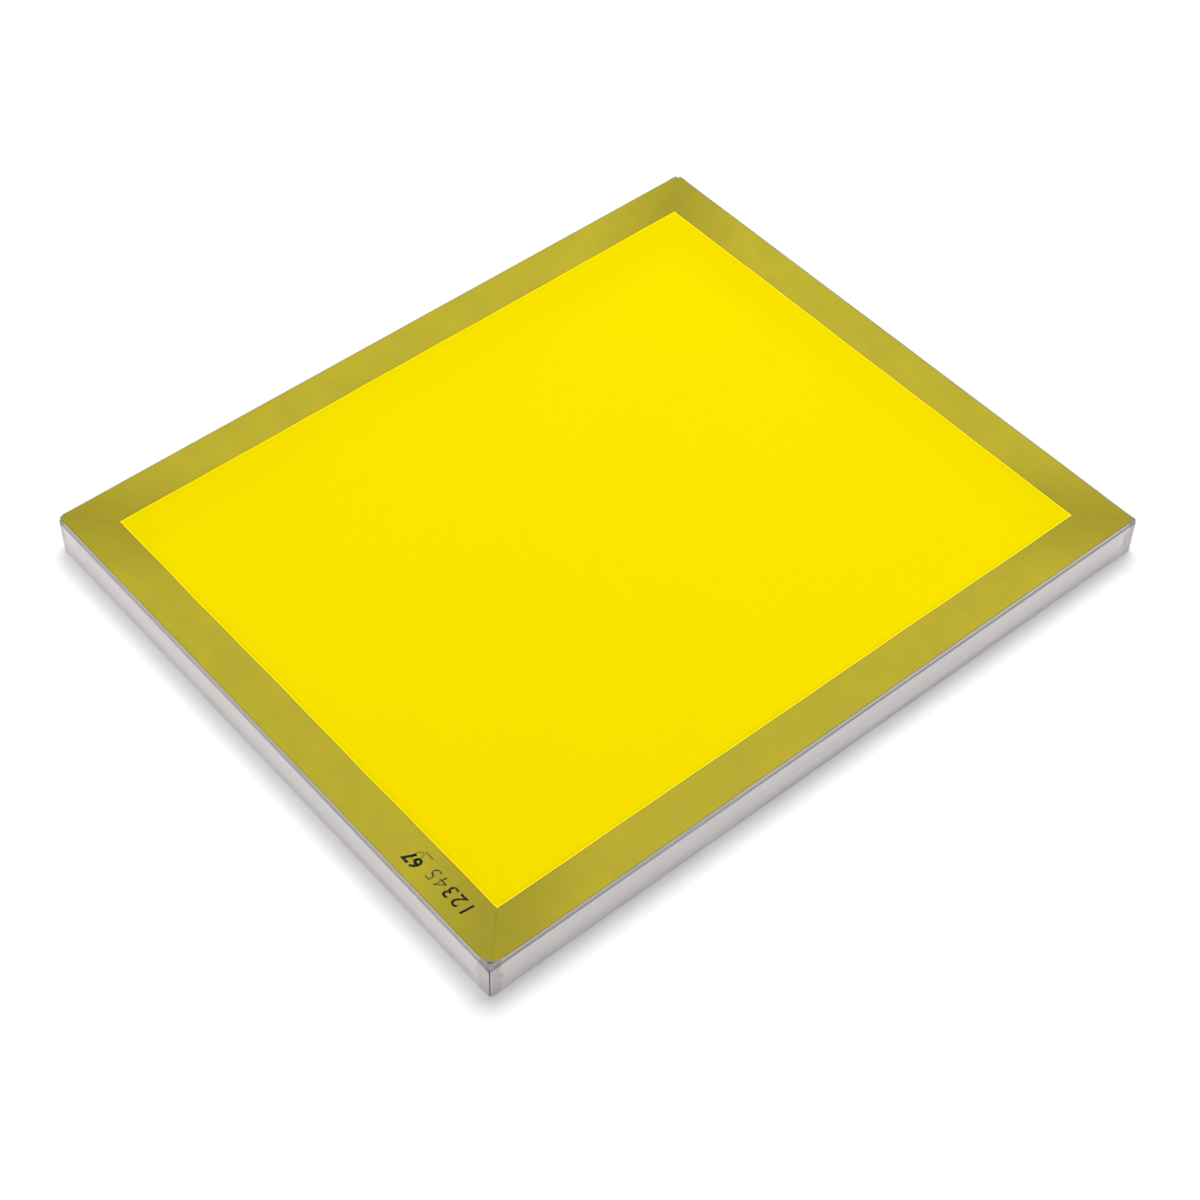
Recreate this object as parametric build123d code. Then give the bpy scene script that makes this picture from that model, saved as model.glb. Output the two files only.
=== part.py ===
from build123d import *
import math
import os

# Stretched screen printing frame: four mitred aluminium tubes welded into a ring, with woven
# polyester glued across the top. Millimetres, +Z up. The origin is the centre of the frame on
# the plane that it rests on. X runs along the longer side. The open squeegee side faces down.

# Frame ring
FRAME_LENGTH = 609.6          # outside, along X
FRAME_DEPTH = 508.0           # outside, along Y
TUBE_WIDTH = 38.1             # across the rail, seen from above
TUBE_HEIGHT = 31.75
TUBE_WALL = 2.0
TUBE_EDGE_RADIUS = 2.0        # long outside edges of the extrusion
TUBE_BORE_RADIUS = 0.8        # long edges inside the extrusion

# Radius that each outside corner was ground to by hand, over its weld
GRIND_RADIUS = {"front_left": 3.0, "front_right": 4.2, "back_right": 5.0, "back_left": 8.0}
CORNER_WALL = 1.5             # least metal behind a ground corner, filled in by its weld

# Welds at each mitred corner
FACE_GROOVE_WIDTH = 2.4       # V groove along the mitre, on the top and the underside
FACE_GROOVE_DEPTH = 1.4
FACE_WELD_RECESS = 0.15       # how far the ground bead stays below the tube's surface
OUTER_GROOVE_WIDTH = 0.9      # V groove down the outside corner
OUTER_GROOVE_DEPTH = 2.0
OUTER_WELD_RECESS = 0.5
NOTCH_WIDTH = 5.0             # V ground open from the outside seam's top to the mesh
NOTCH_DEPTH = 1.8
NOTCH_CLEARANCE = 0.2         # from the V's end to the mesh's trimmed corner
MOUTH_WIDTH = 4.0             # steeper V where the outside seam meets the top
MOUTH_DEPTH = 4.0
MOUTH_LENGTH = 1.2            # inwards from the ground surface
INNER_WELD_LEG = 5.0          # concave fillet weld in the inside corner
INNER_WELD_SETBACK = 0.15     # from the tube's top and bottom to the ends of the bead

# Mesh and the adhesive that holds it
MESH_MARGIN = 2.3             # from the frame's outer faces to the trimmed edge
MESH_CORNER_RADIUS = {"front_left": 12.0, "front_right": 3.5, "back_right": 8.0, "back_left": 4.5}
MESH_THICKNESS = 0.1
ADHESIVE_THICKNESS = 0.1
ADHESIVE_SETBACK = 3.7        # from the rail's inner face to the adhesive
ADHESIVE_CORNER_RADIUS = 3.0

# Worked out from the sizes above
FLAT_WIDTH = TUBE_WIDTH - TUBE_EDGE_RADIUS    # outer face to the end of the flat top
DIAGONAL = math.sqrt(2)                       # across a mitre, for each unit along a side
CUT_CLEARANCE = 1.0                           # how far a cutter runs past what it cuts

# Each side: its length, its outer face's distance from the centre, and its turn about Z
SIDES = {
    "front": (FRAME_LENGTH, FRAME_DEPTH / 2, 0),
    "right": (FRAME_DEPTH, FRAME_LENGTH / 2, 90),
    "back": (FRAME_LENGTH, FRAME_DEPTH / 2, 180),
    "left": (FRAME_DEPTH, FRAME_LENGTH / 2, 270),
}

# Each corner: which way it lies from the centre, and the turn that points +X out along its mitre
CORNERS = {
    "back_right": (1, 1, 45),
    "back_left": (-1, 1, 135),
    "front_left": (-1, -1, 225),
    "front_right": (1, -1, 315),
}


def inset_plan(inset, radii):
    """The frame's outline moved in by inset, each corner rounded by its own radius."""
    length = FRAME_LENGTH - 2 * inset
    depth = FRAME_DEPTH - 2 * inset
    plan = Sketch() + Rectangle(length, depth)
    for name, (sign_x, sign_y, _) in CORNERS.items():
        corner = Vertex(sign_x * length / 2, sign_y * depth / 2, 0)
        vertex = plan.vertices().sort_by_distance(corner)[0]
        plan = fillet(vertex, radii[name])
    return plan


def ground_plan(inset):
    """The ground ring's outline, offset inwards by inset."""
    return inset_plan(inset, {name: radius - inset for name, radius in GRIND_RADIUS.items()})


def ground_envelope(inset):
    """The filled outer shape of the whole ground ring, with its faces moved in by inset."""
    block = extrude(Pos(0, 0, inset) * ground_plan(inset), amount=TUBE_HEIGHT - 2 * inset)
    levels = block.edges().group_by(Axis.Z)
    return fillet(levels[0] + levels[-1], TUBE_EDGE_RADIUS - inset)


def side_sector(length, reach, width):
    """The plan of one side, cut at 45 degrees at both ends, from its outer face inwards."""
    half = length / 2
    return Polygon(
        (-half - CUT_CLEARANCE, -reach - CUT_CLEARANCE),
        (half + CUT_CLEARANCE, -reach - CUT_CLEARANCE),
        (half - width, -reach + width),
        (-half + width, -reach + width),
        align=None,
    )


def sector_block(side, width):
    """That plan as a block that runs past the frame's top and underside."""
    length, reach, _ = SIDES[side]
    plan = Pos(0, 0, -CUT_CLEARANCE) * side_sector(length, reach, width)
    return extrude(plan, amount=TUBE_HEIGHT + 2 * CUT_CLEARANCE)


def rail_body(side, ground):
    """One rail's outer shape: its share of the ground ring, with its inner edges rounded."""
    turn = SIDES[side][2]
    body = (Rot(0, 0, -turn) * ground) & sector_block(side, TUBE_WIDTH)
    inner_edges = body.edges().filter_by(Axis.X).group_by(Axis.Y)[-1]
    return Rot(0, 0, turn) * fillet(inner_edges, TUBE_EDGE_RADIUS)


def rail_bore(side):
    """The hollow of one rail, mitred at both ends and kept clear of the ground corners."""
    length, reach, turn = SIDES[side]
    section = RectangleRounded(
        TUBE_WIDTH - 2 * TUBE_WALL, TUBE_HEIGHT - 2 * TUBE_WALL, TUBE_BORE_RADIUS
    )
    middle = Pos(-reach + TUBE_WIDTH / 2, TUBE_HEIGHT / 2)
    bar = extrude(Plane.YZ * middle * section, amount=length / 2, both=True)
    behind_corners = extrude(ground_plan(CORNER_WALL), amount=TUBE_HEIGHT)
    return (Rot(0, 0, turn) * (bar & sector_block(side, TUBE_WIDTH))) & behind_corners


def at_corner(name, shape):
    """Moves a shape made with the outside corner at the origin and +X outwards to that corner."""
    sign_x, sign_y, turn = CORNERS[name]
    return Pos(sign_x * FRAME_LENGTH / 2, sign_y * FRAME_DEPTH / 2, 0) * Rot(0, 0, turn) * shape


def grind_inset(name):
    """How far the ground surface lies inside the sharp corner, along the mitre."""
    return GRIND_RADIUS[name] * (DIAGONAL - 1)


def top_vee(width, depth, length):
    """A V cutter in the top face, from the sharp outside corner inwards along the mitre."""
    half = width / 2
    section = Polygon(
        (-half, TUBE_HEIGHT + CUT_CLEARANCE),
        (-half, TUBE_HEIGHT),
        (0, TUBE_HEIGHT - depth),
        (half, TUBE_HEIGHT),
        (half, TUBE_HEIGHT + CUT_CLEARANCE),
        align=None,
    )
    return extrude(Plane.YZ * section, amount=-length)


def outer_groove(inset):
    """V groove down an outside corner whose ground surface lies inset along the mitre."""
    half = OUTER_GROOVE_WIDTH / 2
    section = Polygon(
        (-inset - OUTER_GROOVE_DEPTH, 0),
        (-inset, -half),
        (CUT_CLEARANCE, -half),
        (CUT_CLEARANCE, half),
        (-inset, half),
        align=None,
    )
    return extrude(Pos(0, 0, -CUT_CLEARANCE) * section, amount=TUBE_HEIGHT + 2 * CUT_CLEARANCE)


def corner_cuts(name):
    """The weld grooves and the open notches of one corner, by what they are."""
    inset = grind_inset(name)
    mesh_rim = MESH_MARGIN * DIAGONAL + MESH_CORNER_RADIUS[name] * (DIAGONAL - 1)
    top = top_vee(FACE_GROOVE_WIDTH, FACE_GROOVE_DEPTH, FLAT_WIDTH * DIAGONAL)
    cuts = {
        "top": top,
        "bottom": mirror(top, about=Plane.XY.offset(TUBE_HEIGHT / 2)),
        "outer": outer_groove(inset),
        "notch": top_vee(NOTCH_WIDTH, NOTCH_DEPTH, mesh_rim - NOTCH_CLEARANCE),
        "mouth": top_vee(MOUTH_WIDTH, MOUTH_DEPTH, inset + MOUTH_LENGTH),
    }
    return {kind: at_corner(name, cut) for kind, cut in cuts.items()}


def inner_weld_blank():
    """The inside corner's fillet, with the stretch that laps over the tubes' rounded edges."""
    inner_corner = -TUBE_WIDTH * DIAGONAL
    toe = INNER_WELD_LEG / DIAGONAL
    lap = TUBE_EDGE_RADIUS / DIAGONAL
    left_toe = (inner_corner - toe, toe)
    right_toe = (inner_corner - toe, -toe)
    throat = (inner_corner - INNER_WELD_LEG * (DIAGONAL - 1), 0)
    outline = ThreePointArc(left_toe, throat, right_toe) + Polyline(
        right_toe,
        (right_toe[0] + lap, right_toe[1] - lap),
        (-FLAT_WIDTH * DIAGONAL, 0),
        (left_toe[0] + lap, left_toe[1] + lap),
        left_toe,
    )
    height = TUBE_HEIGHT - 2 * INNER_WELD_SETBACK
    return extrude(Pos(0, 0, INNER_WELD_SETBACK) * make_face(outline), amount=height)


def mesh_outline():
    """The plan of the trimmed mesh."""
    return inset_plan(MESH_MARGIN, MESH_CORNER_RADIUS)


def adhesive_strip(side):
    """The film of adhesive on one rail's flat top, mitred where it meets the next strip."""
    length, reach, turn = SIDES[side]
    inner_edge = TUBE_WIDTH - ADHESIVE_SETBACK
    window = RectangleRounded(
        FRAME_LENGTH - 2 * inner_edge, FRAME_DEPTH - 2 * inner_edge, ADHESIVE_CORNER_RADIUS
    )
    sector = Rot(0, 0, turn) * side_sector(length, reach, TUBE_WIDTH)
    film = (mesh_outline() - window) & sector
    return extrude(Pos(0, 0, TUBE_HEIGHT) * film, amount=ADHESIVE_THICKNESS)


def build():
    """Every piece of the frame by its node name."""
    ground = ground_envelope(0)
    face_weld_limit = ground_envelope(FACE_WELD_RECESS)
    outer_weld_limit = ground_envelope(OUTER_WELD_RECESS)
    bodies = {side: rail_body(side, ground) for side in SIDES}
    cuts = {corner: corner_cuts(corner) for corner in CORNERS}
    all_cuts = [cut for kinds in cuts.values() for cut in kinds.values()]

    pieces = {f"{side}_rail": body - rail_bore(side) - all_cuts for side, body in bodies.items()}

    for corner, cut in cuts.items():
        notches = [cut["notch"], cut["mouth"]]
        pieces[f"{corner}_top_weld"] = (cut["top"] & face_weld_limit) - [cut["outer"], *notches]
        pieces[f"{corner}_bottom_weld"] = (cut["bottom"] & face_weld_limit) - cut["outer"]
        pieces[f"{corner}_outer_weld"] = (cut["outer"] & outer_weld_limit) - notches
        blank = at_corner(corner, inner_weld_blank())
        pieces[f"{corner}_inner_weld"] = blank - list(bodies.values()) - [cut["top"], cut["bottom"]]

    for side in SIDES:
        pieces[f"{side}_adhesive"] = adhesive_strip(side)

    sheet = Pos(0, 0, TUBE_HEIGHT + ADHESIVE_THICKNESS) * mesh_outline()
    pieces["mesh"] = extrude(sheet, amount=MESH_THICKNESS)
    return pieces


os.makedirs("parts", exist_ok=True)
for node, shape in build().items():
    export_step(shape, f"parts/{node}.step")
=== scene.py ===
"""Looks of a stretched screen printing frame: aluminium tube, welds, glued yellow mesh and its studio."""
import logging
import math
from abc import ABC, abstractmethod
from dataclasses import dataclass, field
from enum import Enum
from typing import Any, Callable, Sequence

import bmesh
import bpy
from mathutils import Matrix, Vector


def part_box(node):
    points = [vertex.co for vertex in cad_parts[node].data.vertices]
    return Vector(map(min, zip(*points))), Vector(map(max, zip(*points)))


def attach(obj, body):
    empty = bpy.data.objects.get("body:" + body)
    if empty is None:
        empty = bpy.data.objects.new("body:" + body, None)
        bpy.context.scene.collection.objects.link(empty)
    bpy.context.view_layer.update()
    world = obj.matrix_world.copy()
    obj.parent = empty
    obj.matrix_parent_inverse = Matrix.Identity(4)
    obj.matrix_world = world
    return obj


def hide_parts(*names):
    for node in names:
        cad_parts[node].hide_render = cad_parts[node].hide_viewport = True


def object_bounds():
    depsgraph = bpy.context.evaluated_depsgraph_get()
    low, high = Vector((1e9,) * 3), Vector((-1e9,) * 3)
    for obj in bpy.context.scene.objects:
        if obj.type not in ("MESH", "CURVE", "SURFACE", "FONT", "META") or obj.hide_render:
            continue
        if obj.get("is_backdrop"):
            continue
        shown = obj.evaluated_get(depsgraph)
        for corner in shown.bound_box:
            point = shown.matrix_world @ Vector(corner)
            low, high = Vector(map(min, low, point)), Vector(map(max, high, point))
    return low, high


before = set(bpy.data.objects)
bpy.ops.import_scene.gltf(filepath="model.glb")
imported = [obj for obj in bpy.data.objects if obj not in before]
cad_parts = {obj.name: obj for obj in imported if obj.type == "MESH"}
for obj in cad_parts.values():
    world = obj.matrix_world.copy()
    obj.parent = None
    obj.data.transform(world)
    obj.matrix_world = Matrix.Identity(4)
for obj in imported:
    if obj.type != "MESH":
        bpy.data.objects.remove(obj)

LOG = logging.getLogger("screen_frame")
MM = 0.001                            # one millimetre in metres, the unit of the frame
NOISE_SPAN = (0.3, 0.7)               # nearly all of a noise's values lie in this span
NOISE_MEAN = 0.5
SRGB_KNEE, SRGB_SLOPE = 0.04045, 12.92    # the straight foot of the sRGB standard's curve
SRGB_SHIFT, SRGB_POWER = 0.055, 2.4       # the rest of that curve
MIX_NUMBERS = (2, 3)                  # a mix node's inputs for two numbers
MIX_COLOURS = (6, 7)                  # a mix node's inputs for two colours
MIX_COLOUR_RESULT = 2                 # a mix node's output for a colour
Point2 = tuple[float, float]
Range = tuple[float, float]


class Axis(Enum):
    """The row axis that a grain or a rail runs along."""

    X = 0
    Y = 1


class Side(Enum):
    """One side of the frame, as the way that it lies from the centre."""

    FRONT = (0, -1)
    RIGHT = (1, 0)
    BACK = (0, 1)
    LEFT = (-1, 0)

    @property
    def run(self) -> Axis:
        """The axis along which this side's rail runs."""
        return Axis.X if self.value[0] == 0 else Axis.Y

    @property
    def label(self) -> str:
        """The side's name as the CAD nodes have it."""
        return self.name.lower()


# ---------------------------------------------------------------- nodes and colours


def linear(code: str) -> tuple[float, float, float, float]:
    """Turns an sRGB hex colour into the linear colour that shaders take.

    Args:
        code: Six hex digits, with or without a leading #.

    Returns:
        Linear red, green, blue and an alpha of 1.
    """
    text = code.lstrip("#")
    channels = [int(text[i:i + 2], 16) / 255 for i in (0, 2, 4)]
    red, green, blue = (
        c / SRGB_SLOPE if c <= SRGB_KNEE else ((c + SRGB_SHIFT) / (1 + SRGB_SHIFT)) ** SRGB_POWER
        for c in channels
    )
    return (red, green, blue, 1.0)


def add_node(
    tree: bpy.types.NodeTree, kind: str, inputs: dict[Any, Any] | None = None, **settings: Any
) -> bpy.types.Node:
    """Adds one node with its settings, and its inputs set or linked.

    Args:
        tree: The node tree to add to.
        kind: The node's type name.
        inputs: A value or an output socket for each input, by name or number.
        **settings: Attributes of the node itself.

    Returns:
        The new node.
    """
    node = tree.nodes.new(kind)
    for name, value in settings.items():
        setattr(node, name, value)
    for name, value in (inputs or {}).items():
        if isinstance(value, bpy.types.NodeSocket):
            tree.links.new(value, node.inputs[name])
        else:
            node.inputs[name].default_value = value
    return node


@dataclass(frozen=True)
class Grain:
    """A noise pattern: the size of its blotches along X, Y and Z, and the finer layers on it."""

    sizes_mm: tuple[float, float, float]
    detail: float = 2.0                   # how many finer layers lie on the first
    roughness: float = 0.5                # how strong the finer layers are


class Canvas:
    """A material being made: its tree, its object coordinates and the steps finishes share."""

    def __init__(self, name: str) -> None:
        """Starts an empty node material of the given name."""
        self.material = bpy.data.materials.new(name)
        self.material.use_nodes = True
        self.tree = self.material.node_tree
        self.tree.nodes.clear()
        self.place = add_node(self.tree, "ShaderNodeTexCoord").outputs["Object"]

    def add(self, kind: str, inputs: dict[Any, Any] | None = None, **settings: Any) -> bpy.types.Node:
        """Adds a node to this material's tree."""
        return add_node(self.tree, kind, inputs, **settings)

    def math(self, operation: str, *values: Any) -> bpy.types.NodeSocket:
        """One sum on numbers or sockets, and the socket of its result."""
        return self.add("ShaderNodeMath", dict(enumerate(values)), operation=operation).outputs[0]

    def axes(self) -> Sequence[bpy.types.NodeSocket]:
        """The sockets of X, Y and Z, in metres from the frame's origin."""
        return self.add("ShaderNodeSeparateXYZ", {0: self.place}).outputs

    def spread(self, value: Any, low: float, high: float, start: float, end: float) -> bpy.types.NodeSocket:
        """Maps value smoothly from low..high to start..end.

        Args:
            value: The socket to map.
            low: The value at which the result is start.
            high: The value at which the result is end.
            start: The result at low.
            end: The result at high.

        Returns:
            The socket of the mapped value.
        """
        node = self.add(
            "ShaderNodeMapRange",
            {"Value": value, "From Min": low, "From Max": high, "To Min": start, "To Max": end},
            interpolation_type="SMOOTHSTEP",
        )
        return node.outputs["Result"]

    def over(self, noise: Any, ends: Range) -> bpy.types.NodeSocket:
        """Maps a noise's usual span to the two ends given."""
        return self.spread(noise, *NOISE_SPAN, *ends)

    def noise(self, grain: Grain) -> bpy.types.NodeSocket:
        """Noise of the given grain.

        Args:
            grain: The sizes of its blotches and its finer layers.

        Returns:
            The noise's value socket, about NOISE_MEAN in the mean.
        """
        scale = tuple(1 / (size * MM) for size in grain.sizes_mm)
        placed = self.add("ShaderNodeMapping", {"Vector": self.place, "Scale": scale}).outputs[0]
        inputs = {"Vector": placed, "Scale": 1.0, "Detail": grain.detail, "Roughness": grain.roughness}
        return self.add("ShaderNodeTexNoise", inputs).outputs[0]

    def tone(self, code: str, amount: Any) -> bpy.types.NodeSocket:
        """A colour made lighter or darker by a factor socket around 1."""
        mixed = self.add(
            "ShaderNodeVectorMath", {0: linear(code)[:3], "Scale": amount}, operation="SCALE"
        )
        return mixed.outputs[0]

    def blend(self, factor: Any, first: Any, second: Any) -> bpy.types.NodeSocket:
        """Mixes two colours by factor, from first at 0 to second at 1."""
        inputs = {0: factor, MIX_COLOURS[0]: first, MIX_COLOURS[1]: second}
        return self.add("ShaderNodeMix", inputs, data_type="RGBA").outputs[MIX_COLOUR_RESULT]

    def between(self, factor: Any, first: Any, second: Any) -> bpy.types.NodeSocket:
        """Mixes two numbers by factor, from first at 0 to second at 1."""
        inputs = {0: factor, MIX_NUMBERS[0]: first, MIX_NUMBERS[1]: second}
        return self.add("ShaderNodeMix", inputs).outputs[0]

    def bump(self, height: Any, distance_mm: float, strength: float = 1.0) -> bpy.types.NodeSocket:
        """A normal from a height of 0 to 1 that stands for distance_mm."""
        inputs = {"Height": height, "Distance": distance_mm * MM, "Strength": strength}
        return self.add("ShaderNodeBump", inputs).outputs[0]

    def shade(self, shader: bpy.types.NodeSocket) -> bpy.types.Material:
        """Links the finished shader to the output and gives the material."""
        self.add("ShaderNodeOutputMaterial", {"Surface": shader})
        return self.material


# ---------------------------------------------------------------- sizes read from the frame


@dataclass(frozen=True)
class FrameSizes:
    """The frame's sizes, as the loaded nodes have them."""

    length: float
    depth: float
    top: float                        # the top of the tube, under the adhesive
    mesh_high: Vector
    glue_edge: float = 33.5 * MM      # from the rail's outer face to the adhesive's inner edge

    @classmethod
    def read(cls) -> "FrameSizes":
        """Reads the sizes from the rails' and the mesh's boxes."""
        low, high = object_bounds()
        rail_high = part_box("front_rail")[1]
        mesh_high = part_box("mesh")[1]
        return cls(
            length=high[0] - low[0],
            depth=high[1] - low[1],
            top=rail_high[2],
            mesh_high=Vector(mesh_high),
        )


# ---------------------------------------------------------------- finishes


class Finish(ABC):
    """One surface finish, which makes its own material."""

    @abstractmethod
    def build(self) -> bpy.types.Material:
        """Makes the material."""


@dataclass(frozen=True)
class SatinAluminium(Finish):
    """Mill finish 6063 aluminium tube.

    It is pushed hot through a die, which draws faint lines along it. The welder grinds the corners
    by hand, and the gluer sands the bonding face. The eye gets a soft grey-white sheen, fine lines
    along each rail, upright marks at the corners and a dull top edge, which also carries painted
    shade that tones down the highlight on its rounding.
    """

    run: Axis
    sizes: FrameSizes
    colour: str = "#DEDBDA"
    roughness: float = 0.62
    ground_reach_mm: float = 11.0
    ground_fade_mm: float = 1.5
    ground_wobble_mm: float = 3.0
    ground_dimming: float = 0.1
    ground_dulling: float = 0.1
    sanded_depth_mm: float = 2.4
    sanded_fade_mm: float = 1.4
    # painted shade: how much darker the top edge is coloured, to tone down the highlight on its rounding
    sanded_dimming: float = 0.2
    sanded_dulling: float = 0.2
    # Real die lines are under 0.1 mm apart; they are drawn 0.8 mm apart so that they show.
    line_length_mm: float = 260.0
    line_gap_mm: float = 0.8
    # Grit 80 leaves marks 0.2 mm apart; they are drawn 1 mm apart.
    grit_gap_mm: float = 1.0
    grit_length_mm: float = 26.0
    smudges: Grain = Grain((34, 34, 22), detail=3.0)
    scratches: Grain = Grain((14, 14, 0.5), detail=0.0)
    wobble: Grain = Grain((9, 9, 14))
    line_tones: Range = (0.94, 1.04)
    smudge_tones: Range = (-0.025, 0.02)
    smudge_dulling: Range = (-0.03, 0.05)
    scratch_span: Range = (0.68, 0.74)    # only the noise's peaks make a scratch
    scratch_height: float = 0.03
    relief_mm: float = 0.02
    relief_strength: float = 0.35

    def ground_zone(self, canvas: Canvas) -> bpy.types.NodeSocket:
        """A mask of the hand-ground zone round each outside corner.

        Args:
            canvas: The material being made.

        Returns:
            1 in the zone and 0 away from it, with a wavering edge.
        """
        place = canvas.axes()
        swing = self.ground_wobble_mm * MM
        fade = self.ground_fade_mm * MM
        wobble = canvas.over(canvas.noise(self.wobble), (-swing, swing))
        masks = []
        for axis, extent in ((Axis.X, self.sizes.length), (Axis.Y, self.sizes.depth)):
            edge = extent / 2 - self.ground_reach_mm * MM
            reach = canvas.math("ADD", canvas.math("ABSOLUTE", place[axis.value]), wobble)
            masks.append(canvas.spread(reach, edge - fade, edge + fade, 0, 1))
        return canvas.math("MULTIPLY", *masks)

    def sanded_top(self, canvas: Canvas) -> bpy.types.NodeSocket:
        """A mask of the bonding face and its rounded edge, which sanding dulls before gluing and where
        painted shade tones down the highlight.
        """
        start = self.sizes.top - self.sanded_depth_mm * MM
        return canvas.spread(canvas.axes()[2], start, start + self.sanded_fade_mm * MM, 0, 1)

    def build(self) -> bpy.types.Material:
        """Die lines along the run, upright grinding marks at the corners, smudges all over.

        Returns:
            The tube's material, for rails of this run.
        """
        canvas = Canvas(f"extruded_aluminium_{self.run.name.lower()}")
        along, across = self.line_length_mm, self.line_gap_mm
        line_sizes = (along, across, across) if self.run is Axis.X else (across, along, across)
        grit_sizes = (self.grit_gap_mm, self.grit_gap_mm, self.grit_length_mm)
        lines = canvas.noise(Grain(line_sizes, detail=1.0))
        grinding = canvas.noise(Grain(grit_sizes, detail=1.0))
        smudges = canvas.noise(self.smudges)
        ground = self.ground_zone(canvas)
        sanded_and_shaded = self.sanded_top(canvas)
        texture = canvas.between(ground, lines, grinding)

        tone = canvas.math(
            "ADD", canvas.over(texture, self.line_tones), canvas.over(smudges, self.smudge_tones)
        )
        tone = canvas.math("SUBTRACT", tone, canvas.math("MULTIPLY", ground, self.ground_dimming))
        # painted shade: the top edge and its rounding are coloured darker to tone down their highlight
        tone = canvas.math("SUBTRACT", tone, canvas.math("MULTIPLY", sanded_and_shaded, self.sanded_dimming))

        polished, dull = (self.roughness + change for change in self.smudge_dulling)
        rough = canvas.over(smudges, (polished, dull))
        rough = canvas.math("ADD", rough, canvas.math("MULTIPLY", ground, self.ground_dulling))
        rough = canvas.math("ADD", rough, canvas.math("MULTIPLY", sanded_and_shaded, self.sanded_dulling))

        scratch = canvas.spread(canvas.noise(self.scratches), *self.scratch_span, 0, self.scratch_height)
        height = canvas.math("ADD", texture, scratch)
        shader = canvas.add(
            "ShaderNodeBsdfPrincipled",
            {
                "Base Color": canvas.tone(self.colour, tone),
                "Metallic": 1.0,
                "Roughness": rough,
                "Normal": canvas.bump(height, self.relief_mm, self.relief_strength),
            },
        )
        return canvas.shade(shader.outputs[0])


@dataclass(frozen=True)
class WeldAluminium(Finish):
    """Aluminium weld metal, 4043 filler laid by a TIG torch.

    It freezes in small ripples and keeps soot and oxide in its low spots, so the eye gets a greyer
    and duller metal than the tube, rippled where it isn't ground.
    """

    name: str
    colour: str
    roughness: float
    ripple_mm: float
    ripple_height_mm: float
    ripple_warp: float = 5.0              # how far, in radians, a ripple strays from its level
    ripple_strength: float = 0.8
    soot: Grain = Grain((3, 3, 3), detail=3.0)
    warp: Grain = Grain((4, 4, 2), detail=1.0)
    soot_tones: Range = (0.85, 1.08)
    soot_dulling: Range = (-0.06, 0.1)

    def build(self) -> bpy.types.Material:
        """Ripples up the bead, and soot and oxide in blotches.

        Returns:
            The weld's material.
        """
        canvas = Canvas(self.name)
        blotches = canvas.noise(self.soot)
        warp = canvas.math("MULTIPLY", canvas.noise(self.warp), self.ripple_warp)
        phase = canvas.math("MULTIPLY", canvas.axes()[2], 2 * math.pi / (self.ripple_mm * MM))
        ripple = canvas.math("SINE", canvas.math("ADD", phase, warp))
        height = canvas.spread(ripple, -1, 1, 0, 1)
        smooth, dull = (self.roughness + change for change in self.soot_dulling)
        shader = canvas.add(
            "ShaderNodeBsdfPrincipled",
            {
                "Base Color": canvas.tone(self.colour, canvas.over(blotches, self.soot_tones)),
                "Metallic": 1.0,
                "Roughness": canvas.over(blotches, (smooth, dull)),
                "Normal": canvas.bump(height, self.ripple_height_mm, self.ripple_strength),
            },
        )
        return canvas.shade(shader.outputs[0])


@dataclass(frozen=True)
class FrameAdhesive(Finish):
    """Cured two-part frame adhesive.

    It is brushed through the mesh on to the sanded tube and cures to a thin amber film. The eye
    gets it only as a soft gloss and a brown tint under the mesh.
    """

    colour: str = "#9A8B3E"
    roughness: float = 0.35
    strokes: Grain = Grain((12, 12, 4), detail=3.0)
    stroke_tones: Range = (0.88, 1.1)
    stroke_dulling: Range = (-0.05, 0.1)
    stroke_height_mm: float = 0.05
    stroke_strength: float = 0.5

    def build(self) -> bpy.types.Material:
        """Brush strokes and small pools in the film.

        Returns:
            The film's material.
        """
        canvas = Canvas("cured_frame_adhesive")
        strokes = canvas.noise(self.strokes)
        smooth, dull = (self.roughness + change for change in self.stroke_dulling)
        shader = canvas.add(
            "ShaderNodeBsdfPrincipled",
            {
                "Base Color": canvas.tone(self.colour, canvas.over(strokes, self.stroke_tones)),
                "Roughness": canvas.over(strokes, (smooth, dull)),
                "Normal": canvas.bump(strokes, self.stroke_height_mm, self.stroke_strength),
            },
        )
        return canvas.shade(shader.outputs[0])


def weave(canvas: Canvas, pitch_mm: float) -> bpy.types.NodeSocket:
    """A plain weave's height: threads over and under by turns.

    Args:
        canvas: The material being made.
        pitch_mm: The distance from one thread to the next.

    Returns:
        A height from 0 to 1.
    """
    place = canvas.axes()
    turns = math.pi / (pitch_mm * MM)
    waves = [
        canvas.math("SINE", canvas.math("MULTIPLY", place[axis.value], turns)) for axis in Axis
    ]
    return canvas.spread(canvas.math("MULTIPLY", *waves), -1, 1, 0, 1)


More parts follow.
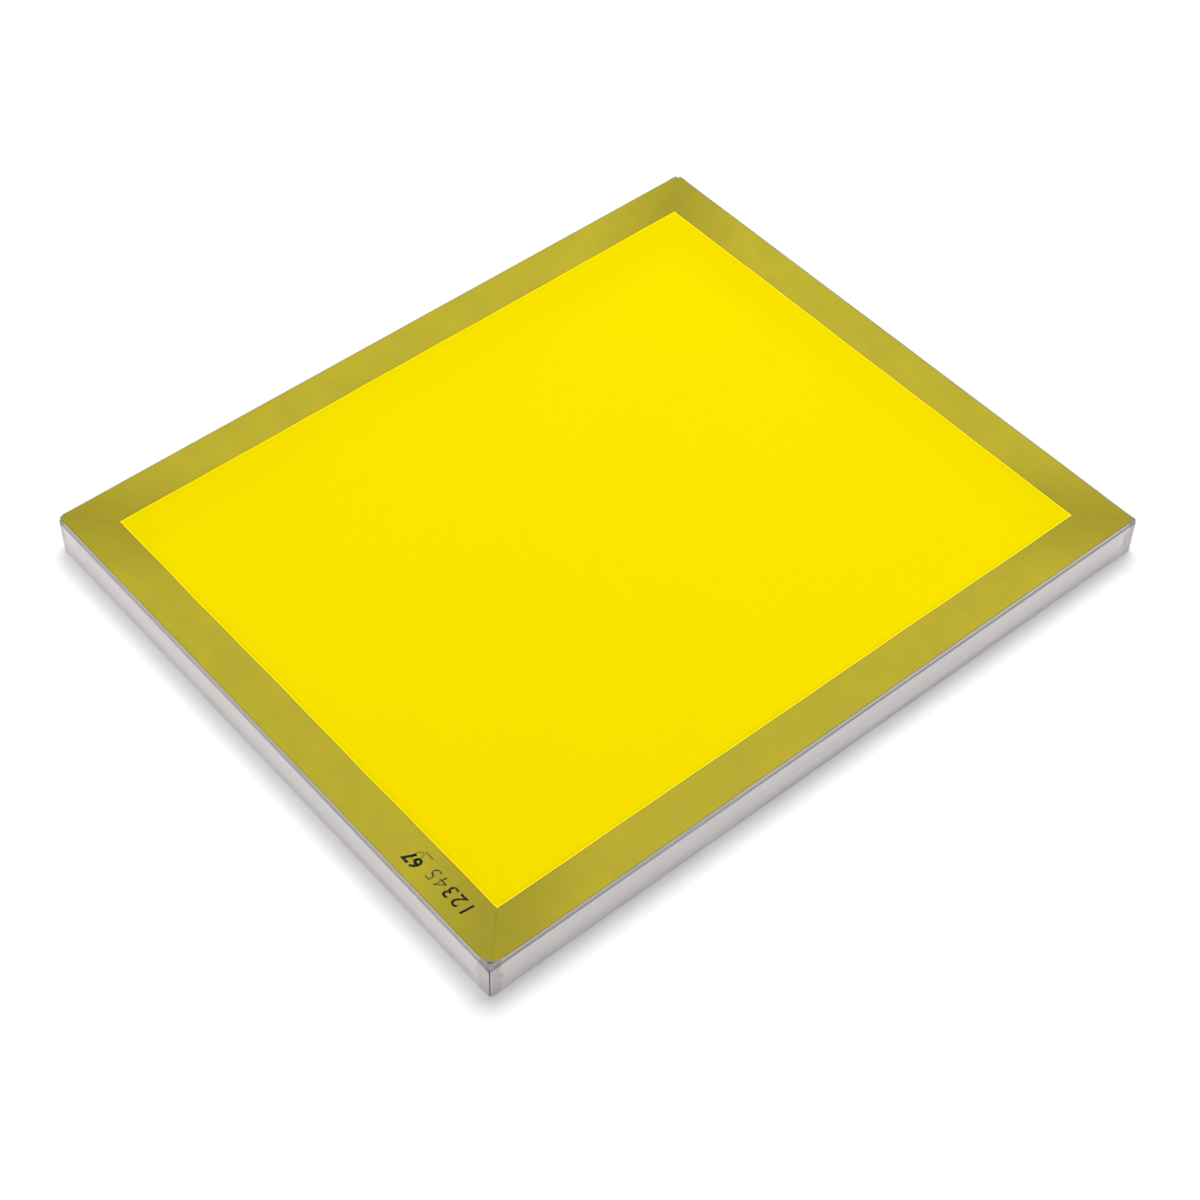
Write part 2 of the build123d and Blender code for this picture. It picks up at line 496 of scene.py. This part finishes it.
@dataclass(frozen=True)
class FreeMesh(Finish):
    """Dyed monofilament polyester, 77 threads per cm, woven plain and stretched.

    The dye stops light from scattering in the stencil. The eye gets a flat, matt yellow with no
    highlight, and the floor and the rails' inner walls faintly through the gaps.
    """

    name: str = "dyed_polyester_mesh"
    colour: str = "#FFF200"
    tint: str = "#FFF000"
    open_share: float = 0.4
    roughness: float = 0.8
    # The threads are 0.13 mm apart; the weave is drawn 1.3 mm apart so that it can show at all.
    drawn_pitch_mm: float = 1.3
    weave_tones: Range = (0.992, 1.0)
    drift: Grain = Grain((90, 90, 90))
    drift_tones: Range = (0.995, 1.0)
    weave_height_mm: float = 0.02
    weave_strength: float = 0.1

    def build(self) -> bpy.types.Material:
        """Yellow threads with a share of open gaps between them.

        Returns:
            The mesh's material where nothing is glued to it.
        """
        canvas = Canvas(self.name)
        cloth = weave(canvas, self.drawn_pitch_mm)
        drift = canvas.noise(self.drift)
        tone = canvas.math(
            "MULTIPLY", canvas.spread(cloth, 0, 1, *self.weave_tones), canvas.over(drift, self.drift_tones)
        )
        threads = canvas.add(
            "ShaderNodeBsdfPrincipled",
            {
                "Base Color": canvas.tone(self.colour, tone),
                "Roughness": self.roughness,
                "Specular IOR Level": 0.0,
                "Normal": canvas.bump(cloth, self.weave_height_mm, self.weave_strength),
            },
        )
        gaps = canvas.add("ShaderNodeBsdfTransparent", {"Color": linear(self.tint)})
        mixed = canvas.add(
            "ShaderNodeMixShader", {0: self.open_share, 1: threads.outputs[0], 2: gaps.outputs[0]}
        )
        return canvas.shade(mixed.outputs[0])


@dataclass(frozen=True)
class BondedMesh(Finish):
    """The same mesh soaked with adhesive and stuck to the tube.

    The adhesive fills the gaps, so light goes through the yellow threads to grey metal and back.
    The eye gets a closed olive band, mottled and a little glossy, that is duller at the corners.
    """

    name: str
    sizes: FrameSizes
    colour: str = "#AFA222"
    mitre_colour: str = "#8A8030"
    roughness: float = 0.6
    shine: float = 0.12
    grain: Grain = Grain((1.6, 1.6, 1.6), roughness=0.7)
    pools: Grain = Grain((30, 30, 30), detail=3.0)
    ragged: Grain = Grain((5, 5, 5))
    grain_tones: Range = (0.965, 1.03)
    pool_tones: Range = (-0.04, 0.04)
    pool_dulling: Range = (-0.05, 0.06)
    corner_tone: float = 0.76
    corner_fade_mm: float = 95.0          # how far from the mitre the corner's dull stretch ends
    mitre_ragged_mm: float = 0.6
    mitre_line_mm: Range = (0.3, 1.8)     # where the mitre's line starts to fade, and is gone
    mitre_pools: Range = (0.35, 0.65)
    mitre_cover: Range = (0.25, 0.5)
    grain_height_mm: float = 0.03
    grain_strength: float = 0.4

    def from_mitre(self, canvas: Canvas) -> bpy.types.NodeSocket:
        """How far a point is from the nearest mitre line, in metres."""
        place = canvas.axes()
        insets = [
            canvas.math("SUBTRACT", extent / 2, canvas.math("ABSOLUTE", place[axis.value]))
            for axis, extent in ((Axis.X, self.sizes.length), (Axis.Y, self.sizes.depth))
        ]
        return canvas.math("ABSOLUTE", canvas.math("SUBTRACT", *insets))

    def mitre_line(self, canvas: Canvas, mitre: Any, pools: Any) -> bpy.types.NodeSocket:
        """How strongly the weld's line shows through at each point.

        Args:
            canvas: The material being made.
            mitre: The distance from the nearest mitre line.
            pools: The noise of the adhesive's pools, which hide the line in places.

        Returns:
            The line's strength, 0 away from it.
        """
        swing = self.mitre_ragged_mm * MM
        near, far = (limit * MM for limit in self.mitre_line_mm)
        ragged = canvas.math("ADD", mitre, canvas.over(canvas.noise(self.ragged), (-swing, swing)))
        line = canvas.spread(ragged, near, far, 1, 0)
        return canvas.math("MULTIPLY", line, canvas.spread(pools, *self.mitre_pools, *self.mitre_cover))

    def build(self) -> bpy.types.Material:
        """Uneven adhesive, a dull stretch at each corner and the weld's line showing through.

        Returns:
            The material of one glued zone of the mesh.
        """
        canvas = Canvas(self.name)
        grain = canvas.noise(self.grain)
        pools = canvas.noise(self.pools)
        mitre = self.from_mitre(canvas)
        corner = canvas.spread(mitre, 0, self.corner_fade_mm * MM, self.corner_tone, 1.0)
        mottle = canvas.math(
            "ADD", canvas.over(grain, self.grain_tones), canvas.over(pools, self.pool_tones)
        )
        tone = canvas.math("MULTIPLY", corner, mottle)
        colour = canvas.blend(
            self.mitre_line(canvas, mitre, pools),
            canvas.tone(self.colour, tone),
            linear(self.mitre_colour),
        )
        smooth, dull = (self.roughness + change for change in self.pool_dulling)
        shader = canvas.add(
            "ShaderNodeBsdfPrincipled",
            {
                "Base Color": colour,
                "Roughness": canvas.over(pools, (smooth, dull)),
                "Specular IOR Level": self.shine,
                "Normal": canvas.bump(grain, self.grain_height_mm, self.grain_strength),
            },
        )
        return canvas.shade(shader.outputs[0])


@dataclass(frozen=True)
class MarkerInk(Finish):
    """Permanent marker, dried.

    The felt tip rides on the threads and skips their gaps, and a dry pen leaves less. The eye gets
    matt black strokes, broken in places by the olive mesh under them.
    """

    name: str
    colour: str
    skip: float                           # the noise value at which the ink begins to cover
    skip_fade: float = 0.12
    under_colour: str = "#7F7838"
    roughness: float = 0.7
    shine: float = 0.2
    specks: Grain = Grain((0.9, 0.9, 0.9), roughness=0.7)
    strokes: Grain = Grain((4, 4, 4), detail=1.0)
    stroke_share: float = 0.5

    def build(self) -> bpy.types.Material:
        """Ink broken by the weave under it.

        Returns:
            The material of one run of digits.
        """
        canvas = Canvas(self.name)
        specks = canvas.noise(self.specks)
        strokes = canvas.math("SUBTRACT", canvas.noise(self.strokes), NOISE_MEAN)
        cover = canvas.math("ADD", specks, canvas.math("MULTIPLY", strokes, self.stroke_share))
        faded = canvas.spread(cover, self.skip, self.skip + self.skip_fade, 1, 0)
        shader = canvas.add(
            "ShaderNodeBsdfPrincipled",
            {
                "Base Color": canvas.blend(faded, linear(self.colour), linear(self.under_colour)),
                "Roughness": self.roughness,
                "Specular IOR Level": self.shine,
            },
        )
        return canvas.shade(shader.outputs[0])


# ---------------------------------------------------------------- modelling steps


def clear_selection() -> None:
    """Leaves edit mode and deselects every object."""
    if bpy.context.object and bpy.context.object.mode != "OBJECT":
        bpy.ops.object.mode_set(mode="OBJECT")
    bpy.ops.object.select_all(action="DESELECT")


def activate(obj: bpy.types.Object, *others: bpy.types.Object) -> None:
    """Selects an object as the active one, with any others beside it."""
    clear_selection()
    for chosen in (*others, obj):
        chosen.select_set(True)
    bpy.context.view_layer.objects.active = obj


def settle(obj: bpy.types.Object) -> None:
    """Moves an object's place, turn and scale into its mesh."""
    activate(obj)
    bpy.ops.object.transform_apply(location=True, rotation=True, scale=True)


def pick(obj: bpy.types.Object, kind: str, wanted: Callable[[Any], bool]) -> None:
    """Selects the vertices, edges or faces of an object in edit mode that pass a test.

    Args:
        obj: The object, in edit mode.
        kind: "verts", "edges" or "faces".
        wanted: The test.
    """
    bpy.ops.mesh.select_mode(type={"verts": "VERT", "edges": "EDGE", "faces": "FACE"}[kind])
    bpy.ops.mesh.select_all(action="DESELECT")
    data = bmesh.from_edit_mesh(obj.data)
    for item in getattr(data, kind):
        item.select_set(wanted(item))
    data.select_flush_mode()
    bmesh.update_edit_mesh(obj.data)


def apply_modifiers(obj: bpy.types.Object) -> None:
    """Applies an object's modifiers in their order."""
    activate(obj)
    for modifier in list(obj.modifiers):
        bpy.ops.object.modifier_apply(modifier=modifier.name)


def thicken(obj: bpy.types.Object, name: str, depth: float) -> None:
    """Gives a flat object a depth upwards, with a modifier that is then applied.

    Args:
        obj: The flat object.
        name: The modifier's name.
        depth: How thick it gets.
    """
    modifier = obj.modifiers.new(name, "SOLIDIFY")
    modifier.thickness = depth
    modifier.offset = 1.0
    apply_modifiers(obj)


# ---------------------------------------------------------------- the tube ring


@dataclass
class TubeRing:
    """The four rails and their welds, which keep their shape and get their finish."""

    sizes: FrameSizes
    corners: tuple[str, ...] = ("front_left", "front_right", "back_right", "back_left")
    ground_weld: WeldAluminium = WeldAluminium("ground_weld", "#CFCCC8", 0.5, 2.2, 0.02)
    # painted shade: the outer seam's weld is coloured dark grey to stand for the shade in the seam's narrow
    # recess
    seam_weld: WeldAluminium = WeldAluminium("seam_weld_painted_shade", "#6E6A68", 0.6, 1.4, 0.05)
    bead_weld: WeldAluminium = WeldAluminium("weld_bead", "#C4C1BE", 0.42, 1.8, 0.35)

    def dress(self) -> None:
        """Gives each rail, weld and adhesive film its finish."""
        finishes = {axis: SatinAluminium(axis, self.sizes).build() for axis in (Axis.X, Axis.Y)}
        for side in Side:
            self.paint(f"{side.label}_rail", finishes[side.run])
        glue = FrameAdhesive().build()
        for side in Side:
            self.paint(f"{side.label}_adhesive", glue)
        ground = self.ground_weld.build()
        seam = self.seam_weld.build()
        bead = self.bead_weld.build()
        kinds = {"top": ground, "bottom": ground, "outer": seam, "inner": bead}
        for corner in self.corners:
            for kind, material in kinds.items():
                self.paint(f"{corner}_{kind}_weld", material)

    def paint(self, node: str, material: bpy.types.Material) -> None:
        """Puts one material on a CAD node.

        Args:
            node: The node's name.
            material: Its only material.
        """
        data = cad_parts[node].data
        data.materials.clear()
        data.materials.append(material)
        LOG.info("dressed %s with %s", node, material.name)


# ---------------------------------------------------------------- the mesh


class Zone(Enum):
    """The zones of the mesh, each as the number of its material."""

    CUT_EDGE = 0
    BONDED = 1
    GLUE_LINE = 2
    FREE = 3
    BARE_LIP = 4


@dataclass
class MeshSheet:
    """The stretched fabric: free over the opening, bonded over the rails, cut by hand round its edge."""

    sizes: FrameSizes
    thickness: float = 0.08 * MM
    recess: float = 0.02 * MM             # below the top of the frame's box, so that the ink fits
    corner_steps: int = 10
    side_steps: int = 28
    cut_width: float = 0.7 * MM           # the darker, frayed line round the trimmed edge
    cut_swing: float = 0.25 * MM          # how far the hand-cut edge strays
    cut_start: float = 0.7                # where on its wave the cut edge starts, in radians
    glue_line: float = 0.8 * MM           # where the adhesive's brown edge shows
    glue_swing: float = 0.3 * MM          # how far the brushed edge strays
    glue_start: float = 2.1
    glue_reach: float = 0.1 * MM          # a face this far past the adhesive is inside its edge
    lip: float = 1.1 * MM                 # mesh over bare bright tube, inside the adhesive
    window_radius: float = 3.5 * MM
    wave_lengths: tuple[float, float, float] = (0.037, 0.029, 0.011)
    wave_shares: tuple[float, float, float] = (0.5, 0.5, 0.4)
    same_point: float = 1e-5              # closer than this, two points are one
    inner_share: float = 0.9              # of the largest area: only the inner face has more
    sliver_area: float = 1e-9
    trim_radii: dict[Point2, float] = field(default_factory=lambda: {
        (-1, -1): 12.0 * MM, (1, -1): 3.5 * MM, (1, 1): 8.0 * MM, (-1, 1): 4.5 * MM})

    def loop(self, name: str, half: Point2, radii: dict[Point2, float], height: float) -> bpy.types.Object:
        """A flat plate with rounded corners and its long sides divided.

        Args:
            name: The object's name.
            half: Half its size along X and Y.
            radii: The corner radii, by the corner's signs.
            height: Its Z.

        Returns:
            The plate, one face with all its points on the rim.
        """
        clear_selection()
        # A plane of size 2 reaches 1 each way, so its scale is half its size.
        bpy.ops.mesh.primitive_plane_add(size=2.0, location=(0, 0, height))
        plate = bpy.context.object
        plate.name = name
        plate.scale = (half[0], half[1], 1.0)
        settle(plate)
        bpy.ops.object.mode_set(mode="EDIT")
        for (sign_x, sign_y), radius in radii.items():
            corner = Vector((sign_x * half[0], sign_y * half[1], height))
            pick(plate, "verts", lambda v, c=corner: (v.co - c).length < self.same_point)
            bpy.ops.mesh.bevel(
                offset_type="OFFSET", offset=radius, segments=self.corner_steps, profile=0.5,
                affect="VERTICES",
            )
        longest = min(half)
        pick(plate, "edges", lambda e: e.calc_length() > longest)
        bpy.ops.mesh.subdivide(number_cuts=self.side_steps)
        bpy.ops.object.mode_set(mode="OBJECT")
        return plate

    def waver(self, obj: bpy.types.Object, swing: float, seed: float) -> None:
        """Moves a loop's points in and out a little, as a hand-cut or hand-brushed edge lies.

        Args:
            obj: The plate.
            swing: The most that a point moves.
            seed: Where on the wave the loop starts.
        """
        along_x, along_y, across = self.wave_lengths
        share_x, share_y, share_across = self.wave_shares
        for vertex in obj.data.vertices:
            x, y = vertex.co.x, vertex.co.y
            wave = share_x * math.sin(x / along_x + seed)
            wave += share_y * math.sin(y / along_y + 2 * seed)
            wave += share_across * math.sin((x - y) / across + 3 * seed)
            outward = Vector((x / self.sizes.length, y / self.sizes.depth, 0))
            flat = Vector((1, 0, 0)) if abs(outward.x) > abs(outward.y) else Vector((0, 1, 0))
            vertex.co += flat * wave * swing * (1 if outward.dot(flat) > 0 else -1)

    def inset(self, obj: bpy.types.Object, width: float) -> None:
        """Insets the plate's inner face, and leaves that face selected.

        Args:
            obj: The plate.
            width: How far in the new edge lies.
        """
        bpy.ops.object.mode_set(mode="EDIT")
        biggest = max(p.area for p in obj.data.polygons)
        pick(obj, "faces", lambda f: f.calc_area() > self.inner_share * biggest)
        bpy.ops.mesh.inset(thickness=width, depth=0, use_even_offset=True)
        bpy.ops.object.mode_set(mode="OBJECT")

    def cut_open(self, rim: bpy.types.Object, opening: bpy.types.Object) -> None:
        """Deletes the rim's inner face, where the opening's plate will lie.

        Args:
            rim: The outer plate.
            opening: The inner plate, with nothing of it selected afterwards.
        """
        activate(rim, opening)
        bpy.ops.object.mode_set(mode="EDIT")
        bpy.ops.mesh.select_all(action="DESELECT")
        bpy.ops.object.mode_set(mode="OBJECT")
        inner = max(rim.data.polygons, key=lambda face: face.area)
        inner.select = True
        bpy.ops.object.mode_set(mode="EDIT")
        bpy.ops.mesh.select_mode(type="FACE")
        bpy.ops.mesh.delete(type="ONLY_FACE")
        bpy.ops.object.mode_set(mode="OBJECT")

    def bridge(self, rim: bpy.types.Object, half: Point2) -> None:
        """Joins the selected plates to one and fills the band between their edges.

        Args:
            rim: The outer plate, which takes in the other.
            half: Half the trimmed sheet's size.
        """
        bpy.ops.object.join()
        bpy.ops.object.mode_set(mode="EDIT")
        pick(rim, "edges", lambda e: len(e.link_faces) == 1 and not self.on_rim(e, half))
        bpy.ops.mesh.bridge_edge_loops()
        bpy.ops.object.mode_set(mode="OBJECT")

    def build(self) -> bpy.types.Object:
        """Returns:
            The sheet.
        """
        half = (self.sizes.mesh_high.x, self.sizes.mesh_high.y)
        height = self.sizes.mesh_high.z - self.recess - self.thickness
        window = (self.sizes.length / 2 - self.sizes.glue_edge, self.sizes.depth / 2 - self.sizes.glue_edge)

        rim = self.loop("mesh_fabric", half, self.trim_radii, height)
        self.waver(rim, self.cut_swing, self.cut_start)
        self.inset(rim, self.cut_width)
        opening = self.loop("opening", window, dict.fromkeys(self.trim_radii, self.window_radius), height)
        self.waver(opening, self.glue_swing, self.glue_start)
        self.inset(opening, self.glue_line)
        self.inset(opening, self.lip)
        self.cut_open(rim, opening)
        self.bridge(rim, half)

        self.dress(rim, window, half)
        thicken(rim, "thickness", self.thickness)
        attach(rim, "root")
        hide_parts("mesh")
        LOG.info("stretched %s over an opening %.1f by %.1f mm",
                 rim.name, 2 * window[0] / MM, 2 * window[1] / MM)
        return rim

    def on_rim(self, edge: Any, half: Point2) -> bool:
        """Whether an edge lies on the trimmed outer rim.

        Args:
            edge: The edge, in edit mode.
            half: Half the trimmed sheet's size.

        Returns:
            True on a straight side or on a rounded corner of the rim.
        """
        middle = (edge.verts[0].co + edge.verts[1].co) / 2
        near = self.cut_width / 2
        inside = abs(middle.x) < half[0] - near and abs(middle.y) < half[1] - near
        if not inside:
            return True
        for (sign_x, sign_y), radius in self.trim_radii.items():
            centre = Vector((sign_x * (half[0] - radius), sign_y * (half[1] - radius)))
            way = Vector((middle.x, middle.y)) - centre
            if way.x * sign_x > 0 and way.y * sign_y > 0 and way.length > radius - near:
                return True
        return False

    def finishes(self) -> dict[Zone, Finish]:
        """The finish of each zone."""
        return {
            Zone.CUT_EDGE: BondedMesh("cut_mesh_edge", self.sizes, "#9A900C", "#80781A"),
            Zone.BONDED: BondedMesh("bonded_mesh", self.sizes),
            Zone.GLUE_LINE: BondedMesh("adhesive_edge_line", self.sizes, "#A69034", "#8A7C26"),
            Zone.FREE: FreeMesh(),
            Zone.BARE_LIP: FreeMesh("mesh_over_bare_tube", "#FFEC08", "#FFEC20", open_share=0.12),
        }

    def dress(self, sheet: bpy.types.Object, window: Point2, half: Point2) -> None:
        """Gives the faces of each zone their finish, by how far in they lie.

        Args:
            sheet: The joined sheet, before it has thickness.
            window: Half the adhesive opening's size.
            half: Half the trimmed sheet's size.
        """
        finishes = self.finishes()
        sheet.data.materials.clear()
        for zone in Zone:
            sheet.data.materials.append(finishes[zone].build())
        largest = max(p.area for p in sheet.data.polygons)
        for face in sheet.data.polygons:
            inward = min(half[0] - abs(face.center.x), half[1] - abs(face.center.y))
            past_glue = min(window[0] - abs(face.center.x), window[1] - abs(face.center.y))
            if face.area > self.inner_share * largest:
                zone = Zone.FREE
            elif past_glue > self.glue_line:
                zone = Zone.BARE_LIP
            elif past_glue > self.glue_reach:
                zone = Zone.GLUE_LINE
            elif inward < self.cut_width or face.area < self.sliver_area:
                zone = Zone.CUT_EDGE
            else:
                zone = Zone.BONDED
            face.material_index = zone.value


# ---------------------------------------------------------------- the inked number


@dataclass(frozen=True)
class InkLine:
    """One run of digits on the left rail, read along +Y with the tops towards the outer face."""

    name: str
    text: str
    size: float
    start: float                          # from the frame's front face to the first digit
    baseline: float                       # from the rail's outer face to the digits' feet
    spacing: float
    weight: float                         # how much the strokes swell, as a share of the size
    slant: float
    ink: MarkerInk


@dataclass
class Marking:
    """A plain stock number inked by hand on the bonded mesh."""

    sizes: FrameSizes
    film: float = 0.012 * MM
    clearance: float = 0.002 * MM         # between the mesh and the film
    turn: float = math.radians(90)        # from reading along +X to reading along +Y
    curve_steps: int = 6
    lines: tuple[InkLine, ...] = (
        InkLine(
            "ink_number", "123", size=15.5 * MM, start=41.5 * MM, baseline=24.0 * MM, spacing=1.14,
            weight=0.009, slant=0.12, ink=MarkerInk("wet_marker_ink", "#1B190C", 0.30),
        ),
        InkLine(
            "ink_number_end", "45", size=15.5 * MM, start=68.2 * MM, baseline=24.2 * MM, spacing=1.14,
            weight=-0.006, slant=0.12, ink=MarkerInk("dry_marker_ink", "#3A3716", 0.44),
        ),
        InkLine(
            "ink_suffix", "67", size=13.0 * MM, start=92.2 * MM, baseline=19.8 * MM, spacing=1.06,
            weight=0.035, slant=0.05, ink=MarkerInk("bold_marker_ink", "#17160E", 0.28),
        ),
        InkLine(
            "ink_ghost", "0", size=14.0 * MM, start=95.5 * MM, baseline=25.0 * MM, spacing=1.0,
            weight=-0.016, slant=0.1, ink=MarkerInk("faint_marker_ink", "#7A7330", 0.46),
        ),
        InkLine(
            "ink_dash", "\u2013", size=15.0 * MM, start=91.0 * MM, baseline=29.8 * MM, spacing=1.0,
            weight=-0.008, slant=0.0, ink=MarkerInk("light_marker_ink", "#4C4922", 0.40),
        ),
    )

    def build(self) -> list[bpy.types.Object]:
        """Models each line of digits as a film of ink that ends at the top of the frame's box."""
        return [self.write(line) for line in self.lines]

    def write(self, line: InkLine) -> bpy.types.Object:
        """Models one line of digits.

        Args:
            line: What to write and where.

        Returns:
            The film of ink.
        """
        clear_selection()
        bpy.ops.object.text_add(location=(0, 0, 0))
        text = bpy.context.object
        text.name = line.name
        text.data.body = line.text
        text.data.size = line.size
        text.data.shear = line.slant
        text.data.space_character = line.spacing
        text.data.offset = line.weight * line.size
        text.data.resolution_u = self.curve_steps
        bpy.ops.object.convert(target="MESH")
        film = bpy.context.object
        turn = Matrix.Rotation(self.turn, 4, "Z")
        corner = Vector((-self.sizes.length / 2, -self.sizes.depth / 2, 0))
        low = self.sizes.mesh_high.z - MeshSheet.recess
        place = corner + Vector((line.baseline, line.start, low + self.clearance))
        film.matrix_world = Matrix.Translation(place) @ turn
        settle(film)
        thicken(film, "film", self.film)
        film.data.materials.clear()
        film.data.materials.append(line.ink.build())
        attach(film, "root")
        LOG.info("wrote %s", line.name)
        return film


# ---------------------------------------------------------------- the studio


@dataclass
class Studio:
    """A pale floor, soft light from above and behind, and the camera."""

    floor_size: float = 12.0
    floor_gap: float = 0.02 * MM          # under the frame, so that no faces share a plane
    floor_colour: str = "#F0F0F0"
    floor_lift: float = 0.17              # how much the floor adds to itself for the eye, not as light
    sky_strength: float = 0.46
    dim_way: tuple[float, float, float] = (0.50, -0.85, 0.15)
    dim_share: float = 0.8
    bright_way: tuple[float, float, float] = (-0.95, 0.25, 0.15)
    bright_share: float = 0.5
    patch_span: Range = (0.35, 0.95)      # the cosines at a sky patch's edge and at its full value
    key_power: float = 124.0
    key_size: float = 2.7
    key_place: tuple[float, float, float] = (1.0, 0.85, 3.5)
    azimuth: float = -39.607
    elevation: float = 49.158
    distance: float = 1.8305
    aim: Point2 = (-0.0784, -0.0375)
    sensor: float = 36.0
    lens: float = 77.15
    shift_x: float = 0.0445

    def build(self, sizes: FrameSizes) -> None:
        """Makes the floor, the sky, the lamp and the camera.

        Args:
            sizes: The frame's sizes, for the height that the camera looks at.
        """
        self.floor()
        self.sky()
        self.lamp()
        self.camera(sizes)
        bpy.context.scene.view_settings.view_transform = "Standard"
        LOG.info("lit the studio and placed the camera")

    def floor(self) -> None:
        """A white floor that shows the object's shadow."""
        clear_selection()
        bpy.ops.mesh.primitive_plane_add(size=self.floor_size, location=(0, 0, -self.floor_gap))
        floor = bpy.context.object
        floor.name = "studio_floor"
        settle(floor)
        canvas = Canvas("white_studio_floor")
        path = canvas.add("ShaderNodeLightPath")
        seen = canvas.math("MAXIMUM", path.outputs["Is Camera Ray"], canvas.math(
            "MAXIMUM", path.outputs["Is Glossy Ray"], path.outputs["Is Transmission Ray"]))
        matt = canvas.add("ShaderNodeBsdfDiffuse", {"Color": linear(self.floor_colour)})
        lift = canvas.add(
            "ShaderNodeEmission", {"Strength": canvas.math("MULTIPLY", seen, self.floor_lift)}
        )
        both = canvas.add("ShaderNodeAddShader", {0: matt.outputs[0], 1: lift.outputs[0]})
        floor.data.materials.append(canvas.shade(both.outputs[0]))
        floor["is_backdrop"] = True

    def sky(self) -> None:
        """A white sky, dimmer towards the room and brighter towards a window wall."""
        world = bpy.data.worlds.new("studio_sky")
        bpy.context.scene.world = world
        world.use_nodes = True
        tree = world.node_tree
        tree.nodes.clear()
        way = add_node(tree, "ShaderNodeTexCoord").outputs["Generated"]
        parts = [
            self.towards(tree, way, self.dim_way, -self.dim_share),
            self.towards(tree, way, self.bright_way, self.bright_share),
        ]
        change = add_node(tree, "ShaderNodeMath", {0: parts[0], 1: parts[1]}, operation="ADD").outputs[0]
        strength = add_node(
            tree, "ShaderNodeMath", {0: change, 1: self.sky_strength, 2: self.sky_strength},
            operation="MULTIPLY_ADD",
        )
        shader = add_node(
            tree, "ShaderNodeBackground", {"Color": linear("#FFFFFF"), "Strength": strength.outputs[0]}
        )
        add_node(tree, "ShaderNodeOutputWorld", {"Surface": shader.outputs[0]})

    def towards(
        self, tree: bpy.types.NodeTree, way: bpy.types.NodeSocket, middle: Sequence[float], share: float
    ) -> bpy.types.NodeSocket:
        """A soft patch of sky round one direction.

        Args:
            tree: The world's tree.
            way: The socket of the direction looked in.
            middle: The patch's middle.
            share: The patch's value in its middle, 0 away from it.

        Returns:
            The socket of the patch's value.
        """
        unit = tuple(Vector(middle).normalized())
        edge, core = self.patch_span
        closeness = add_node(
            tree, "ShaderNodeVectorMath", {0: way, 1: unit}, operation="DOT_PRODUCT"
        ).outputs["Value"]
        patch = add_node(
            tree, "ShaderNodeMapRange",
            {"Value": closeness, "From Min": edge, "From Max": core, "To Min": 0.0, "To Max": share},
            interpolation_type="SMOOTHSTEP",
        )
        return patch.outputs["Result"]

    def lamp(self) -> None:
        """One large soft box above and behind the frame."""
        data = bpy.data.lights.new("soft_box", "AREA")
        data.shape = "SQUARE"
        data.size = self.key_size
        data.energy = self.key_power
        lamp = bpy.data.objects.new("soft_box", data)
        bpy.context.collection.objects.link(lamp)
        lamp.location = self.key_place
        lamp.rotation_euler = (-Vector(self.key_place)).to_track_quat("-Z", "Y").to_euler()

    def camera(self, sizes: FrameSizes) -> None:
        """The camera, on a line from the frame's top at its azimuth and elevation.

        Args:
            sizes: The frame's sizes.
        """
        data = bpy.data.cameras.new("camera")
        data.sensor_width = self.sensor
        data.lens = self.lens
        data.shift_x = self.shift_x
        camera = bpy.data.objects.new("camera", data)
        bpy.context.collection.objects.link(camera)
        turn, tilt = math.radians(self.azimuth), math.radians(self.elevation)
        way = Vector((math.sin(turn) * math.cos(tilt), -math.cos(turn) * math.cos(tilt), math.sin(tilt)))
        target = Vector((self.aim[0], self.aim[1], sizes.mesh_high.z))
        camera.location = target + way * self.distance
        camera.rotation_euler = (-way).to_track_quat("-Z", "Y").to_euler()
        bpy.context.scene.camera = camera


def main() -> None:
    """Builds the looks in order."""
    logging.basicConfig(level=logging.INFO, format="%(name)s: %(message)s")
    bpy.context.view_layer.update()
    sizes = FrameSizes.read()
    Studio().build(sizes)
    TubeRing(sizes).dress()
    MeshSheet(sizes).build()
    Marking(sizes).build()


if __name__ == "__main__":
    main()
